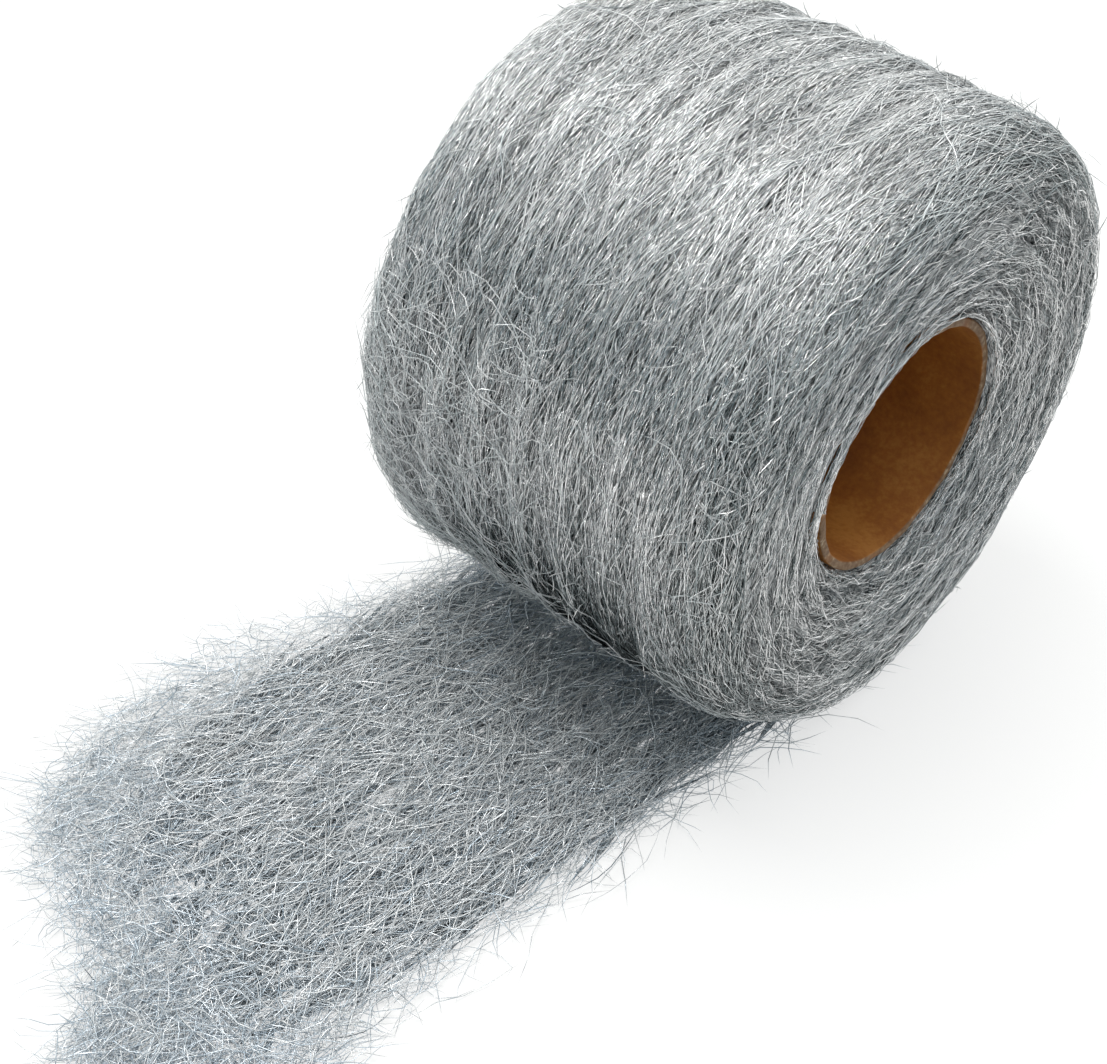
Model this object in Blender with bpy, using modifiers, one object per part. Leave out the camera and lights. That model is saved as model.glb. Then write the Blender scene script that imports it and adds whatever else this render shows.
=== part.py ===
"""Roll of aluminium wool: one long ribbon of metal fibre wound on a paperboard tube.

The roll lies on its side with its axis along X, and the ribbon's loose end runs out
along -Y over the surface that the roll lies on. The origin is on that surface, in the
roll's flat spot, below the middle of the axis. Sizes are in millimetres, and MM turns them to
metres where a mesh or an object takes them.
"""
import math

import bmesh
import bpy
from mathutils import Vector

MM = 0.001

# Paperboard tube
CORE_BORE = 57.2              # inner diameter, a 2 1/4 inch spindle tube
CORE_WALL = 2.1
CORE_LENGTH = 96.0
CORE_LIP = 0.4                # rounding of the four cut rims
CORE_FACETS = 80

# Wound ribbon
ROLL_DIAMETER = 150.0         # outer turn, measured before it settles into its flat spot
ROLL_WIDTH = 103.0            # a 4 inch ribbon and its fluff
TURNS = 7.75                  # turns on the tube, up to where the ribbon leaves it
TURN_GAP = 0.4                # between one turn and the next
CORE_CLEARANCE = 0.35         # between the tube and the first turn
FIRST_EDGE = 0.6              # thickness of the drawn-out start of the ribbon
SHOULDER = 11.0               # rounding from the barrel into the end faces
END_DISH = 2.4                # how far the end faces fall in beside the tube
END_DISH_WIDTH = 19.0         # how far out from the tube they are flat again
EDGE_ROUND = 1.3              # rounding of each turn's own edge, which marks the turns
EDGE_WANDER = 0.8             # how far the turns stray sideways
SLOW_WANDER = 1.37            # strays for each radian of winding
QUICK_WANDER = 3.19
SLOW_SHARE = 0.65             # part of any wander that is slow
COVER_PART = 0.1              # part of a turn over which the ribbon slips under the turn outside it
FACETS_PER_TURN = 40

# Locks: the long ridges of matted fibre that run along the ribbon
LOCK_PITCH = 12.0             # crest to crest across the ribbon
LOCK_RISE = 1.1               # of the crests over the barrel, and as deep between them
TAIL_LOCK_RISE = 0.8          # on the loose end
LOCK_WANDER = 2.4             # how far the crests stray sideways
LOCK_SLOW_WANDER = 2.1        # strays for each radian of winding
LOCK_QUICK_WANDER = 5.3
LOCK_SWELL = 0.45             # part of a lock's rise that comes and goes along it
LOCK_SWELL_RATE = 3.7         # and how often, for each radian of winding
LOCK_SLOW_SHIFT = 0.4         # radians by which each lock's waves are ahead of the one beside it
LOCK_QUICK_SHIFT = -0.9
LOCK_SWELL_SHIFT = 1.9
LOCK_FADE_IN = 0.08           # part of a turn over which the locks rise out of the flat spot

# Loose end on the table
TAIL_LENGTH = 190.0           # from below the axis to the middle of the torn end
TAIL_BACK_EDGE = 46.0         # from the middle to the edge at -X, where it leaves the roll
TAIL_FRONT_EDGE = 50.0        # and to the edge at +X
TAIL_SPREAD_BACK = 23.0       # how far the -X edge frays outwards
TAIL_SPREAD_LENGTH = 136.0    # and how far along it has done so
TAIL_DRAW_FRONT = 9.0         # how far the +X edge draws in
TAIL_SLANT = 0.25             # the torn end's slope, longest at +X
TAIL_BACK_CORNER = 38.0       # rounding of the torn end's corners, seen from above
TAIL_FRONT_CORNER = 28.0
TAIL_END_THICKNESS = 2.2
TAIL_RUN_OUT = 26.0           # length over which the ribbon spreads flat under the roll
TAIL_STEPS = 14               # along the flat run, before the corners
CORNER_STEPS = 8

CORE_RADIUS = CORE_BORE / 2 + CORE_WALL
ROLL_RADIUS = ROLL_DIAMETER / 2
FIRST_RADIUS = CORE_RADIUS + CORE_CLEARANCE
PITCH = (ROLL_RADIUS - FIRST_RADIUS - FIRST_EDGE) / TURNS
FACET_ANGLE = 2 * math.pi / FACETS_PER_TURN
WINDING_STEPS = round(TURNS * FACETS_PER_TURN)
COVERED_FROM = round((1 - COVER_PART / 2) * FACETS_PER_TURN)
LOCK_COUNT = 2 * round((ROLL_WIDTH - 2 * SHOULDER) / LOCK_PITCH) - 1
# The outer turn's first facet lies flat on the table, so the axis is a little below ROLL_RADIUS.
AXIS_HEIGHT = (ROLL_RADIUS - PITCH / FACETS_PER_TURN) * math.cos(FACET_ANGLE)

# Heights through the ribbon's thickness at which its rounded edge has points, 0 inside and 1 outside.
EDGE_LEVELS = (0.0, 0.14, 0.5, 0.86, 1.0)

# Linear colour, roughness and metallic value
KRAFT_BOARD = ((0.33, 0.19, 0.09), 0.85, 0.0)
BRIGHT_WOOL = ((0.50, 0.53, 0.56), 0.38, 1.0)
SHARP_ANGLE = math.radians(45)


def smooth(t):
    """Ease from 0 to 1 with no slope at either end."""
    t = min(max(t, 0.0), 1.0)
    return t * t * (3 - 2 * t)


def arc_drop(distance, radius):
    """How far a quarter arc of this radius has fallen at this distance from its crown."""
    distance = min(max(distance, 0.0), radius)
    return radius - math.sqrt(radius * radius - distance * distance)


def outer_radius(step):
    """Outside of the ribbon, counting facets inwards from the bottom of the outer turn."""
    return ROLL_RADIUS - PITCH * step / FACETS_PER_TURN


def inner_radius(step):
    """Inside of the ribbon: the next turn in, or the tube under the first turn."""
    beneath = step + FACETS_PER_TURN
    if beneath > WINDING_STEPS:
        return FIRST_RADIUS
    return outer_radius(beneath) + TURN_GAP


def barrel_radius(step):
    """Outside of the whole roll at this place round it, where the outer turn shows."""
    round_part = step % FACETS_PER_TURN / FACETS_PER_TURN
    covered = smooth((round_part - 1 + COVER_PART) / COVER_PART)
    return ROLL_RADIUS - PITCH * (round_part - covered)


def end_reach(step, radius):
    """Half the roll's width at a radius: dished beside the tube, rounded at the barrel."""
    dish = END_DISH * (1 - smooth((radius - FIRST_RADIUS) / END_DISH_WIDTH))
    return ROLL_WIDTH / 2 - dish - arc_drop(radius - barrel_radius(step) + SHOULDER, SHOULDER)


def mix_waves(slow, quick):
    """A slow and a quick wave in their shares of one wander."""
    return SLOW_SHARE * slow + (1 - SLOW_SHARE) * quick


def edge_wander(step, side):
    """Sideways stray of the ribbon's edge, slow along the winding and unlike on the two sides."""
    angle = step * FACET_ANGLE
    slow = math.sin(SLOW_WANDER * angle + 1.9 * side)
    quick = math.sin(QUICK_WANDER * angle + 0.7 * side)
    return EDGE_WANDER * mix_waves(slow, quick)


def edge_round(level):
    """How far the ribbon's rounded edge has drawn in at a level through its thickness."""
    return EDGE_ROUND * (1 - math.sqrt(1 - (2 * level - 1) ** 2))


def lock_row(start, end, turn, rise):
    """Crests and troughs of the locks, in turn, between two corners of a section at one height.

    turn is the winding angle, and goes on below zero along the loose end. Each point is the
    place across the ribbon and the rise over its smooth surface.
    """
    wander = LOCK_WANDER * abs(end - start) / (ROLL_WIDTH - 2 * SHOULDER)
    row = []
    for number in range(1, LOCK_COUNT + 1):
        slow = math.sin(LOCK_SLOW_WANDER * turn + LOCK_SLOW_SHIFT * number)
        quick = math.sin(LOCK_QUICK_WANDER * turn + LOCK_QUICK_SHIFT * number)
        across = start + (end - start) * number / (LOCK_COUNT + 1) + wander * mix_waves(slow, quick)
        wave = math.sin(LOCK_SWELL_RATE * turn + LOCK_SWELL_SHIFT * number)
        swell = 1 - LOCK_SWELL * (1 + wave) / 2
        row.append((across, rise * swell if number % 2 else -rise * swell))
    return row


def wound_lock_rise(step):
    """Rise of the locks round the barrel: none in the flat spot or where the ribbon is covered."""
    part = step / FACETS_PER_TURN
    fade_in = smooth((part - 1 / FACETS_PER_TURN) / LOCK_FADE_IN)
    fade_out = smooth((COVERED_FROM - step) / (COVER_PART * FACETS_PER_TURN))
    return LOCK_RISE * fade_in * fade_out


def wound_point(step, across, radius, settled):
    """A point of the wound ribbon; settled points lie on the table in the flat spot."""
    angle = step * FACET_ANGLE
    height = 0.0 if settled else max(AXIS_HEIGHT - radius * math.cos(angle), 0.0)
    return Vector((across, radius * math.sin(angle), height))


def wound_section(step):
    """The ribbon's section as four rows: the -X edge, the outside, the +X edge and the inside.

    The edges run outwards and back inwards, and the outside row has points only where it shows.
    """
    inside, outside = inner_radius(step), outer_radius(step)
    edges = []
    for side, levels in ((-1, EDGE_LEVELS), (1, EDGE_LEVELS[::-1])):
        edge = []
        for level in levels:
            radius = inside + level * (outside - inside)
            reach = end_reach(step, radius) + edge_wander(step, side) - edge_round(level)
            edge.append(wound_point(step, side * reach, radius, step <= 1 and level == 1.0))
        edges.append(edge)
    back, front = edges
    outer = []
    if 0 < step <= COVERED_FROM:
        row = lock_row(back[-1].x, front[0].x, step * FACET_ANGLE, wound_lock_rise(step))
        outer = [wound_point(step, across, outside + rise, step == 1) for across, rise in row]
    return back, outer, front, []


def tail_edge(distance, edge, spread, corner_radius):
    """Distance from the middle to one edge of the loose end, rounded at its torn corner."""
    corner = arc_drop(distance - (TAIL_LENGTH - corner_radius), corner_radius)
    return edge + spread - corner


def tail_section(distance):
    """The same section where the ribbon lies flat, at a distance from below the axis.

    The inside of the ribbon is on top here, so the locks show on the inside row.
    """
    foot_back, _, foot_front, _ = wound_section(0)
    foot = foot_back + foot_front
    run_out = smooth(distance / TAIL_RUN_OUT)
    along = distance / TAIL_LENGTH
    spread_back = TAIL_SPREAD_BACK * smooth(distance / TAIL_SPREAD_LENGTH)
    back = tail_edge(distance, TAIL_BACK_EDGE, spread_back, TAIL_BACK_CORNER)
    front = tail_edge(distance, TAIL_FRONT_EDGE, -TAIL_DRAW_FRONT * smooth(along), TAIL_FRONT_CORNER)
    foot_thickness = max(point.z for point in foot)
    thickness = foot_thickness + (TAIL_END_THICKNESS - foot_thickness) * smooth(along)
    levels = EDGE_LEVELS + EDGE_LEVELS[::-1]
    points = []
    for start, level in zip(foot, levels):
        half_width = back if start.x < 0 else front
        reach = math.copysign(half_width - edge_round(level), start.x)
        x = start.x + (reach - start.x) * run_out
        y = -distance - TAIL_SLANT * x * smooth(along)
        z = start.z + (thickness * (1 - level) - start.z) * run_out
        points.append(Vector((x, y, z)))
    back_edge, front_edge = points[:len(EDGE_LEVELS)], points[len(EDGE_LEVELS):]
    top_back, top_front = back_edge[0], front_edge[-1]
    rise = TAIL_LOCK_RISE * smooth(distance / TAIL_RUN_OUT - 1) * thickness / foot_thickness
    inner = []
    for x, lift in lock_row(top_front.x, top_back.x, -distance / ROLL_RADIUS, rise):
        y = -distance - TAIL_SLANT * x * smooth(along)
        inner.append(Vector((x, y, top_back.z + lift)))
    return back_edge, [], front_edge, inner


def tail_distances():
    """Stations from the torn end to the roll: even angles round the corners, then even steps."""
    corner_radius = max(TAIL_BACK_CORNER, TAIL_FRONT_CORNER)
    straight = TAIL_LENGTH - corner_radius
    corner = [
        straight + corner_radius * math.sin(math.pi / 2 * i / CORNER_STEPS)
        for i in range(CORNER_STEPS, 0, -1)
    ]
    return corner + [straight * i / TAIL_STEPS for i in range(TAIL_STEPS, 0, -1)]


def join_rows(mesh_builder, row, following):
    """Faces between two rows of points: quads, or fans from the ends of a row that has only two."""
    if len(row) == len(following):
        for i in range(len(row) - 1):
            mesh_builder.faces.new((row[i], row[i + 1], following[i + 1], following[i]))
        return
    many, (first, last) = (row, following) if len(following) == 2 else (following, row)
    middle = len(many) // 2
    for i in range(len(many) - 1):
        mesh_builder.faces.new((many[i], many[i + 1], first if i < middle else last))
    mesh_builder.faces.new((many[middle], last, first))


def loft(name, sections):
    """Closed skin over sections of four rows each, capped at both ends."""
    mesh_builder = bmesh.new()
    rings = []
    for section in sections:
        back, outer, front, inner = [
            [mesh_builder.verts.new(point * MM) for point in row] for row in section
        ]
        rings.append((back, [back[-1], *outer, front[0]], front, [front[-1], *inner, back[0]]))
    for ring, following in zip(rings, rings[1:]):
        for row, next_row in zip(ring, following):
            join_rows(mesh_builder, row, next_row)
    for back, outer, front, inner in (rings[0], rings[-1]):
        mesh_builder.faces.new(back + outer[1:-1] + front + inner[1:-1])
    bmesh.ops.recalc_face_normals(mesh_builder, faces=mesh_builder.faces)
    mesh = bpy.data.meshes.new(name)
    mesh_builder.to_mesh(mesh)
    mesh_builder.free()
    return bpy.data.objects.new(name, mesh)


def finish(thing, collection, surface):
    """Put a piece in the roll's collection with its own material and smooth shading."""
    color, roughness, metallic = surface
    material = bpy.data.materials.new(thing.name)
    material.use_nodes = True
    shader = material.node_tree.nodes["Principled BSDF"]
    shader.inputs["Base Color"].default_value = (*color, 1.0)
    shader.inputs["Roughness"].default_value = roughness
    shader.inputs["Metallic"].default_value = metallic
    thing.data.materials.append(material)
    thing.data.shade_smooth()
    thing.data.set_sharp_from_angle(angle=SHARP_ANGLE)
    collection.objects.link(thing)


def wall_profile():
    """Section of the tube's wall with rounded rims, run down its outer side, as (radius, along)."""
    half_wall, half_length = CORE_WALL / 2, CORE_LENGTH / 2
    profile = []
    for quarter, (across, along) in enumerate(((1, 1), (-1, 1), (-1, -1), (1, -1))):
        for part in (0, 45, 90):
            angle = math.radians(90 * quarter + part)
            radius = CORE_RADIUS - half_wall + across * (half_wall - CORE_LIP)
            profile.append((
                radius + CORE_LIP * math.cos(angle),
                along * (half_length - CORE_LIP) + CORE_LIP * math.sin(angle),
            ))
    return profile[::-1]


def make_core_tube():
    """Paperboard tube: its wall's section turned about the roll's axis."""
    profile = [(radius * MM, 0.0, along * MM) for radius, along in wall_profile()]
    count = len(profile)
    mesh = bpy.data.meshes.new("core_tube")
    mesh.from_pydata(profile, [(i, (i + 1) % count) for i in range(count)], [])
    tube = bpy.data.objects.new("core_tube", mesh)
    turned = tube.modifiers.new("turned about the axis", "SCREW")
    turned.axis = "Z"
    turned.angle = 2 * math.pi
    turned.steps = turned.render_steps = CORE_FACETS
    turned.use_merge_vertices = True
    turned.merge_threshold = 0.00001
    turned.use_smooth_shade = True
    tube.location = (0.0, 0.0, AXIS_HEIGHT * MM)
    tube.rotation_euler = (0.0, math.radians(90), 0.0)
    return tube


def make_wool_ribbon():
    """One continuous ribbon: its torn end, the flat run, and the turns in to the tube."""
    sections = [tail_section(distance) for distance in tail_distances()]
    sections += [wound_section(step) for step in range(WINDING_STEPS + 1)]
    return loft("wool_ribbon", sections)


def main():
    for thing in list(bpy.data.objects):
        bpy.data.objects.remove(thing, do_unlink=True)
    roll = bpy.data.collections.new("aluminium_wool_roll")
    bpy.context.scene.collection.children.link(roll)
    finish(make_core_tube(), roll, KRAFT_BOARD)
    finish(make_wool_ribbon(), roll, BRIGHT_WOOL)


main()
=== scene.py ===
import math

import bpy
import numpy as np
from mathutils import Matrix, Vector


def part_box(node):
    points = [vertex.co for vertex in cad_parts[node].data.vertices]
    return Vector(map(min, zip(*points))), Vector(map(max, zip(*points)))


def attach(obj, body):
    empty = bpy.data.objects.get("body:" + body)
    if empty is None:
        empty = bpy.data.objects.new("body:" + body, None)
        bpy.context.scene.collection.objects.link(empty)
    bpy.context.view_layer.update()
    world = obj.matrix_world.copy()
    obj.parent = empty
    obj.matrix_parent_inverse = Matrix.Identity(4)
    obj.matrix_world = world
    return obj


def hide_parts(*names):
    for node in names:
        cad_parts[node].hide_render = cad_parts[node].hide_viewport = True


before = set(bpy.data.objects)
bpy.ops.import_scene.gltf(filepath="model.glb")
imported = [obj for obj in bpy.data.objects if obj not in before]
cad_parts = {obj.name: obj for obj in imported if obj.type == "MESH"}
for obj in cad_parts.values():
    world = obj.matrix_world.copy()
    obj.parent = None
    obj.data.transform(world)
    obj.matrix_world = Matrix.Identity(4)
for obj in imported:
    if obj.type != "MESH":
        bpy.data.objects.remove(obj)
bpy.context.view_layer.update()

millimetre = 0.001

# The wound ribbon, in millimetres, as the frame's solids hold it. The tube's own sizes come from its box.
tubeLow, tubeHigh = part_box("core_tube")
axisHeight = (tubeLow.z + tubeHigh.z) / 2 / millimetre
tubeRadius = (tubeHigh.z - tubeLow.z) / 2 / millimetre
tubeHalf = tubeHigh.x / millimetre
roll = {
    "radius": 75.0,  # outside of the outer turn at the bottom
    "width": 103.0,
    "turns": 7.75,
    "turnGap": 0.4,
    "tubeClearance": 0.35,
    "firstEdge": 0.6,  # thickness of the drawn-out start
    "shoulder": 11.0,  # rounding from the barrel into the end faces
    "dish": 2.4,  # fall of the end faces beside the tube
    "dishWidth": 19.0,
    "edgeRound": 1.3,  # rounding of each turn's own edge
    "wander": 0.8,  # sideways stray of the turns
    "coverPart": 0.1,  # part of a turn over which the ribbon slips under the next
    "locks": 13,  # crests and troughs across the barrel
    "lockRise": 0.85,  # less than the solids' own, as the strands over the locks stand out too
    "lockWander": 2.4,
}
lockWaves = {
    "stray": ((0.65, 2.1, 0.4), (0.35, 5.3, -0.9)),  # share, and phase for each radian and for each lock
    "swell": 0.45,
    "swellTurn": 3.7,
    "swellLock": 1.9,
}
outerTurn = {
    "rising": (0.025, 0.08),  # parts of the turn: where the locks start to rise, and over which
    "covered": 0.95,  # where they are gone again
    "ripples": ((0.25, 7.3, -0.09, 2.1), (0.2, 13.7, 0.21, 0.0)),  # mm, for each radian, for each mm, phase
}
edgeWaves = ((0.65, 1.37, 1.9), (0.35, 3.19, 0.7))  # share, and phase for each radian and by the side
endFace = {
    "tubeGap": 0.25,  # mm that the strands stay off the tube
    "squeeze": 1.5,  # mm over which they draw together there
    "groove": 0.7,  # part of the turns' edge rounding that shows
    "sunk": 1.3,  # mm that the wool falls back beside the tube
    "sunkWidth": 8.0,
}
firstRadius = tubeRadius + roll["tubeClearance"]
pitch = (roll["radius"] - firstRadius - roll["firstEdge"]) / roll["turns"]
fullTurn = 2 * math.pi


def smooth(t):
    # eases from 0 to 1 with no slope at either end
    t = np.clip(t, 0.0, 1.0)
    return t * t * (3 - 2 * t)


def eased(value, span):
    # the same from the span's start over its width, downwards where the width is negative
    return smooth((value - span[0]) / span[1])


def hump(value, span):
    # half a sine from the span's start over its width, and 0 beside it
    return np.sin(math.pi * np.clip((value - span[0]) / span[1], 0, 1))


def arcDrop(distance, radius):
    # fall of a quarter arc at a distance from its crown
    distance = np.clip(distance, 0.0, radius)
    return radius - np.sqrt(radius * radius - distance * distance)


def barrelRadius(winding):
    # outside of the roll at a winding angle: falls by one pitch a turn, and rises again where it slips under
    part = (winding / fullTurn) % 1.0
    covered = smooth((part - 1 + roll["coverPart"]) / roll["coverPart"])
    return roll["radius"] - pitch * (part - covered)


def endReach(winding, radius):
    # half the roll's width at a radius: dished at the tube, a quarter arc at the barrel
    dish = roll["dish"] * (1 - smooth((radius - firstRadius) / roll["dishWidth"]))
    drop = arcDrop(radius - barrelRadius(winding) + roll["shoulder"], roll["shoulder"])
    return roll["width"] / 2 - dish - drop


def lockHeight(turn, across, left, right):
    # the solids' locks: a cosine across the ribbon, straight to the edges, whose crests stray and swell
    number = (across - left) / (right - left) * (roll["locks"] + 1)
    stray = sum(share * np.sin(rate * turn + lag * number) for share, rate, lag in lockWaves["stray"])
    wander = roll["lockWander"] * (right - left) / (roll["width"] - 2 * roll["shoulder"])
    number = (across - wander * stray - left) / (right - left) * (roll["locks"] + 1)
    inward = np.clip(np.minimum(number, roll["locks"] + 1 - number), 0, 1)
    phase = lockWaves["swellTurn"] * turn + lockWaves["swellLock"] * number
    swell = 1 - lockWaves["swell"] * (0.5 + 0.5 * np.sin(phase))
    return np.where(inward < 1, inward, -np.cos(math.pi * number)) * swell


def relief(winding, across):
    # rise of the outer turn in mm: the locks, faded out in the flat spot and where the turn is covered, and
    # two sine ripples
    part = winding / fullTurn
    fade = eased(part, outerTurn["rising"]) * smooth((outerTurn["covered"] - part) / roll["coverPart"])
    flat = roll["width"] / 2 - roll["shoulder"]
    rise = roll["lockRise"] * fade * lockHeight(winding, across, -flat, flat)
    for height, around, sideways, phase in outerTurn["ripples"]:
        rise = rise + height * np.sin(around * winding + sideways * across + phase)
    return rise


def edgeWander(winding, side):
    # a slow and a quick sine of the winding angle, unlike on the two sides
    waves = (share * np.sin(rate * winding + lag * side) for share, rate, lag in edgeWaves)
    return roll["wander"] * sum(waves)


def besideTube(radius):
    # mm that the wool falls back beside the tube, eased out over the width of the hollow
    return endFace["sunk"] * (1 - smooth((radius - firstRadius) / endFace["sunkWidth"]))


def aroundAxis(winding, across, radius):
    # a point at a winding angle counted from the bottom, up the +Y side
    return np.stack([across, radius * np.sin(winding), axisHeight - radius * np.cos(winding)], -1)


def barrelPoint(winding, along, lift):
    # skin of the roll: flat to the shoulder, a quarter arc, and down the end face; lift is along the normal
    winding, along, lift = np.broadcast_arrays(winding, along, lift)
    shoulder = roll["shoulder"]
    flat = roll["width"] / 2 - shoulder
    past = np.maximum(np.abs(along) - flat, 0.0)
    arc = np.minimum(past / shoulder, math.pi / 2)
    down = past - arc * shoulder
    outside = barrelRadius(winding)
    lift = lift + relief(winding, along)
    radius = outside - shoulder * (1 - np.cos(arc)) - down + lift * np.cos(arc)
    across = np.minimum(np.abs(along), flat) + (shoulder + lift) * np.sin(arc)
    return aroundAxis(winding, np.sign(along) * across, radius)


def endPoint(winding, depth, side, lift):
    # edge of one turn: depth below its outer face, on the rounded end of the roll, kept off the tube by an
    # exponential of the distance to it
    winding, depth, side, lift = np.broadcast_arrays(winding, depth, side, lift)
    radius = roll["radius"] - pitch * winding / fullTurn - depth
    gap = (radius - firstRadius - endFace["tubeGap"]) / endFace["squeeze"]
    gap = np.where(gap < 1, np.exp(np.minimum(gap, 1) - 1), gap)
    radius = firstRadius + endFace["tubeGap"] + endFace["squeeze"] * gap
    level = np.clip(depth / (pitch - roll["turnGap"]), 0.0, 1.0)
    groove = 1 - np.sqrt(np.clip(1 - (2 * level - 1) ** 2, 0.0, 1.0))
    groove = endFace["groove"] * roll["edgeRound"] * groove
    slope = np.clip((radius - barrelRadius(winding)) / roll["shoulder"] + 1, 0.0, 1.0)
    reach = endReach(winding, radius) + edgeWander(winding, side) - groove - besideTube(radius)
    reach = reach + lift * np.sqrt(1 - slope * slope)
    return aroundAxis(winding, side * reach, radius + lift * slope)


def linearColor(hexColor, alpha=1.0):
    # sRGB hex to the linear values that shaders take
    channels = [int(hexColor[i:i + 2], 16) / 255 for i in (1, 3, 5)]
    linear = [c / 12.92 if c <= 0.04045 else ((c + 0.055) / 1.055) ** 2.4 for c in channels]
    return (*linear, alpha)


def addNode(material, kind, settings=None, **links):
    # one node with its settings, and its inputs set or linked; a node as a value gives its first output
    node = material.node_tree.nodes.new("ShaderNode" + kind)
    for key, value in (settings or {}).items():
        setattr(node, key, value)
    for key, value in links.items():
        socket = node.inputs[int(key[1:])] if key[1:].isdigit() else node.inputs[key]
        if isinstance(value, bpy.types.Node):
            value = value.outputs[0]
        if isinstance(value, bpy.types.NodeSocket):
            material.node_tree.links.new(value, socket)
        else:
            socket.default_value = value
    return node


def combine(material, kind, operation, *values):
    # a Math or VectorMath node on its values
    inputs = {f"n{number}": value for number, value in enumerate(values)}
    return addNode(material, kind, {"operation": operation}, **inputs)


def flatNoise(material, place, scale, detail):
    settings = {"noise_dimensions": "2D"}
    return addNode(material, "TexNoise", settings, Vector=place, Scale=scale, Detail=detail).outputs


def mixColours(material, factor, first, second, blend="MIX"):
    # from the first colour at 0 to the blend with the second at 1
    settings = {"data_type": "RGBA", "blend_type": blend}
    return addNode(material, "Mix", settings, n0=factor, n6=first, n7=second).outputs[2]


def addRamp(material, value, stops):
    # colour ramp with its stops as (place, hex)
    node = addNode(material, "ValToRGB", Fac=value)
    ramp = node.color_ramp
    while len(ramp.elements) < len(stops):
        ramp.elements.new(0.5)
    for element, (place, hexColor) in zip(ramp.elements, stops):
        element.position = place
        element.color = linearColor(hexColor)
    return node.outputs[0]


def feed(material, shader, name, output):
    material.node_tree.links.new(output, shader.inputs[name])


def newMaterial(name):
    material = bpy.data.materials.new(name)
    material.use_nodes = True
    return material, material.node_tree.nodes["Principled BSDF"]


def addObject(name, data):
    added = bpy.data.objects.new(name, data)
    bpy.context.scene.collection.objects.link(added)
    return added


def addPiece(name, mesh, material, slotName, *nodes):
    # a finished piece at the origin, riding on the one body
    piece = addObject(name, mesh)
    mesh.materials.append(material)
    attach(piece, "root")
    if nodes:
        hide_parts(*nodes)
    return piece


def meshFrom(name, points, corners, starts, maps, smoothed=True):
    # a mesh from whole arrays: points in mm, face corners, first corner of each face, UV per corner
    mesh = bpy.data.meshes.new(name)
    mesh.vertices.add(len(points))
    mesh.vertices.foreach_set("co", (points * millimetre).astype(np.float32).ravel())
    mesh.loops.add(len(corners))
    mesh.loops.foreach_set("vertex_index", corners.astype(np.int32))
    mesh.polygons.add(len(starts))
    mesh.polygons.foreach_set("loop_start", starts.astype(np.int32))
    mesh.update(calc_edges=True)
    for mapName, uv in maps.items():
        layer = mesh.uv_layers.new(name=mapName)
        layer.uv.foreach_set("vector", uv.astype(np.float32).ravel())
    if smoothed:
        mesh.shade_smooth()
    return mesh


print("frame loaded")

# Fibres: shaved aluminium strands, each a closed three-sided sliver with pointed ends
toneCount = 32  # columns of the tone map, from dim strands to bright ones
skinGap = 0.1  # mm between the mass and the deepest strands
fibre = {
    "radius": 0.112,  # mm, to the corners of the sliver's section
    "radii": (0.65, 1.25),  # the thinnest and the thickest strand, as shares of it
    "taper": 0.55,  # part of its thickness that a strand loses towards its ends
    "longest": 90.0,  # mm, the length that the whole height of the tone map stands for
    "lowest": 0.02,  # mm over the table
    "toneSpread": 0.22,
    "toneRise": 0.8,  # painted shade: tone gained from the deepest strands to the top ones
}
strand = {  # ranges of each strand's own share of its lot's values
    "lengths": (0.6, 1.4),
    "crimps": (0.4, 1.3),
    "crimpLengths": (0.7, 1.5),
    "bounces": (0.3, 1.2),
    "bounceLength": 1.7,  # times the crimp's
    "rings": 7,  # where the lot says nothing else
}


def seeded(lay):
    return np.random.default_rng(lay["seed"])


def draw(random, count, low=0.0, high=1.0):
    # an even draw for each strand
    return random.uniform(low, high, (count, 1))


def strandPaths(random, count, lay, **changed):
    # heading = own direction + curl * s + crimp * sin(s), summed into along and across; lift is a slower
    # sine; what is changed takes the place of the lay's own value
    lay = {**strand, **lay, **changed}
    rings = lay["rings"]
    full = lay["length"] * draw(random, count, *strand["lengths"])
    s = np.linspace(-0.5, 0.5, rings)[None] * full
    own = random.normal(0.0, lay["heading"], (count, 1))
    bend = random.normal(0.0, lay["curl"], (count, 1))
    crimp, crimpLength, bounce = lay["crimp"]
    wave = crimp * draw(random, count, *strand["crimps"])
    waveLength = crimpLength * draw(random, count, *strand["crimpLengths"])
    phase = random.uniform(0.0, fullTurn, (count, 2, 1))
    angle = own + bend * s + wave * np.sin(fullTurn * s / waveLength + phase[:, 0])
    middle = (angle[:, 1:] + angle[:, :-1]) / 2
    step = np.diff(s, axis=1)
    start = np.zeros((count, 1))
    along = np.concatenate([start, np.cumsum(np.cos(middle) * step, 1)], 1)
    across = np.concatenate([start, np.cumsum(np.sin(middle) * step, 1)], 1)
    along -= along[:, rings // 2][:, None]
    across -= across[:, rings // 2][:, None]
    lift = bounce * draw(random, count, *strand["bounces"])
    lift = lift * np.sin(fullTurn * s / (strand["bounceLength"] * waveLength) + phase[:, 1])
    return along, across, lift


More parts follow.
